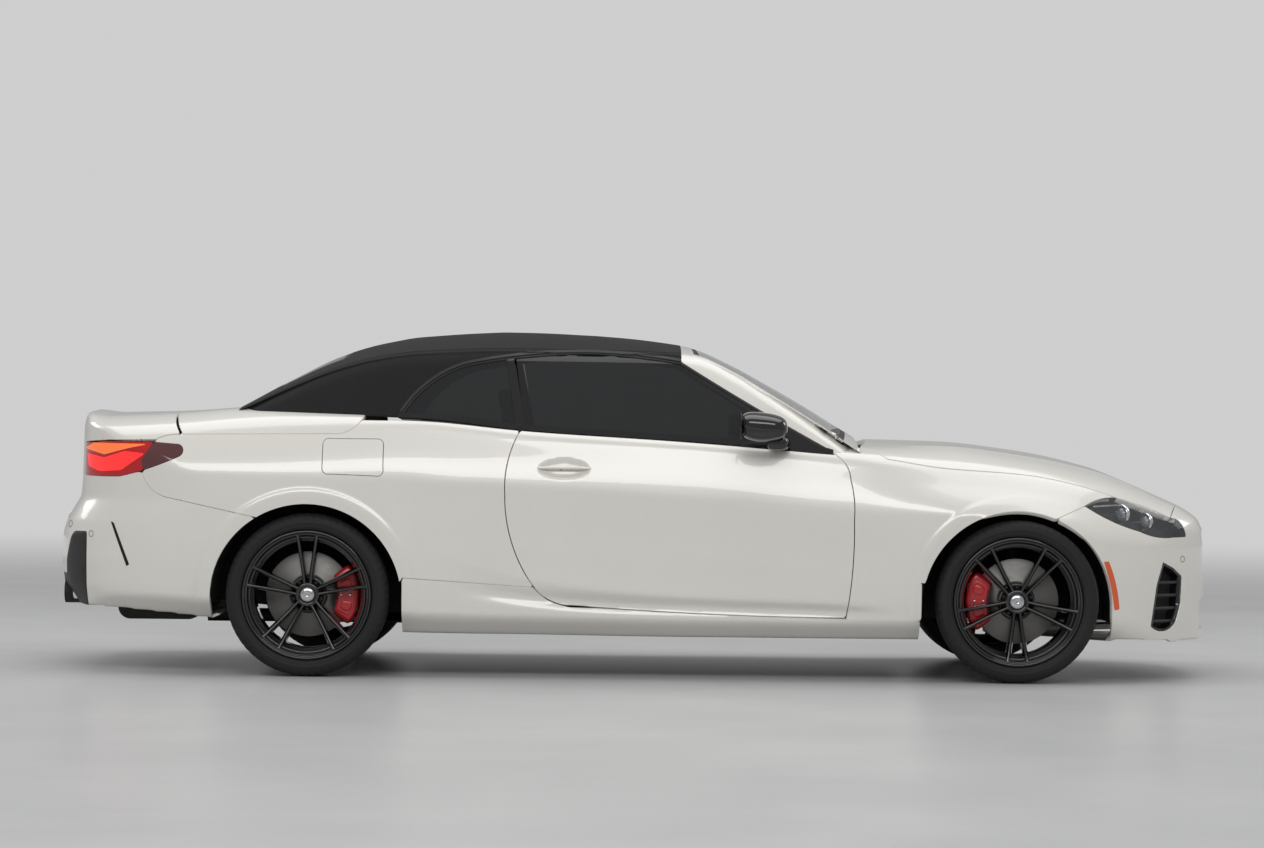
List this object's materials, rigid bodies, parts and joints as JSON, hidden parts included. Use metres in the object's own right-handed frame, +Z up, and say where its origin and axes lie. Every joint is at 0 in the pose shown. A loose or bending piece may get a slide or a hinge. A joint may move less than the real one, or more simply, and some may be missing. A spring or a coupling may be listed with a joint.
{
  "type": "convertible car",
  "caption": "Low two-door open-top car with a raised fabric roof, opening doors, hood, boot lid and fuel flap, steered front wheels and turning road wheels.",
  "frame": {"origin": "on the ground, midway along the car and on its centre plane", "axes": "+X forward to the nose, +Y to the car's left, +Z up"},
  "size_m": [4.77, 2.08, 1.405],
  "materials": {
    "paint": "pearl white lacquer",
    "black_gloss": "gloss black",
    "clear_glass": "clear",
    "tinted_glass": "dark tint",
    "roof_cloth": "woven black cloth",
    "lamp_clear": "clear cover",
    "lamp_red": "clear red",
    "seat_leather": "grained black",
    "cabin_plastic": "soft black",
    "engine_block": "cast",
    "chassis_iron": "coated black",
    "exhaust_steel": "satin",
    "body_steel": "black primer and liner",
    "caliper_red": "gloss red",
    "rim_black": "gloss black",
    "tyre": "rubber"
  },
  "bodies": {
    "body": {"body_tub": "body_steel", "sills": "paint", "quarter_right": "paint", "quarter_left": "paint", "fender_right": "paint", "fender_left": "paint", "front_bumper": "paint", "rear_bumper": "paint", "grilles": "black_gloss", "diffuser": "black_gloss", "windshield_frame": "paint", "windshield": "clear_glass", "soft_top": "roof_cloth", "rear_window": "clear_glass", "tonneau_cover": "paint", "quarter_glass": "tinted_glass", "headlamps": "lamp_clear", "tail_lamps": "lamp_red", "cowl": "black_gloss", "front_seats": "seat_leather", "rear_seat": "seat_leather", "dashboard": "cabin_plastic", "steering_wheel": "cabin_plastic", "engine": "engine_block", "front_axle": "chassis_iron", "rear_axle": "chassis_iron", "exhaust": "exhaust_steel"},
    "steering_right": {"knuckle_right": "caliper_red"},
    "steering_left": {"knuckle_left": "caliper_red"},
    "hood": {"hood": "paint"},
    "trunk_lid": {"trunk_lid": "paint"},
    "fuel_flap": {"fuel_flap": "paint"},
    "door_right": {"door_right": "paint", "door_glass_right": "tinted_glass", "mirror_right": "black_gloss"},
    "wheel_front_right": {"rim_front_right": "rim_black", "tyre_front_right": "tyre"},
    "wheel_rear_right": {"rim_rear_right": "rim_black", "tyre_rear_right": "tyre"},
    "door_left": {"door_left": "paint", "door_glass_left": "tinted_glass", "mirror_left": "black_gloss"},
    "wheel_front_left": {"rim_front_left": "rim_black", "tyre_front_left": "tyre"},
    "wheel_rear_left": {"rim_rear_left": "rim_black", "tyre_rear_left": "tyre"}
  },
  "joints": [
    {"name": "steer_right", "type": "hinge", "parent": "body", "child": "steering_right", "pos_m": [1.538, -0.735, 0.327], "axis": [0, 0, 1], "range_deg": [-33, 33]},
    {"name": "steer_left", "type": "hinge", "parent": "body", "child": "steering_left", "pos_m": [1.538, 0.735, 0.327], "axis": [0, 0, 1], "range_deg": [-33, 33]},
    {"name": "spin_front_right", "type": "hinge", "parent": "steering_right", "child": "wheel_front_right", "pos_m": [1.538, -0.795, 0.327], "axis": [0, 1, 0], "continuous": true},
    {"name": "spin_rear_right", "type": "hinge", "parent": "body", "child": "wheel_rear_right", "pos_m": [-1.313, -0.797, 0.327], "axis": [0, 1, 0], "continuous": true},
    {"name": "spin_front_left", "type": "hinge", "parent": "steering_left", "child": "wheel_front_left", "pos_m": [1.538, 0.795, 0.327], "axis": [0, 1, 0], "continuous": true},
    {"name": "spin_rear_left", "type": "hinge", "parent": "body", "child": "wheel_rear_left", "pos_m": [-1.313, 0.797, 0.327], "axis": [0, 1, 0], "continuous": true},
    {"name": "door_right_hinge", "type": "hinge", "parent": "body", "child": "door_right", "pos_m": [0.806, -0.876, 0.63], "axis": [0, 0, 1], "range_deg": [0, 65]},
    {"name": "door_left_hinge", "type": "hinge", "parent": "body", "child": "door_left", "pos_m": [0.806, 0.876, 0.63], "axis": [0, 0, -1], "range_deg": [0, 65]},
    {"name": "hood_hinge", "type": "hinge", "parent": "body", "child": "hood", "pos_m": [0.936, 0, 0.932], "axis": [0, -1, 0], "range_deg": [0, 45]},
    {"name": "trunk_hinge", "type": "hinge", "parent": "body", "child": "trunk_lid", "pos_m": [-1.898, 0, 1.03], "axis": [0, 1, 0], "range_deg": [0, 75]},
    {"name": "fuel_flap_hinge", "type": "hinge", "parent": "body", "child": "fuel_flap", "pos_m": [-1.036, -0.866, 0.883], "axis": [0, 0.3469, 0.9379], "range_deg": [0, 80]}
  ],
  "couplings": [
    {"joint": "steer_left", "follows": "steer_right", "ratio": 1}
  ]
}
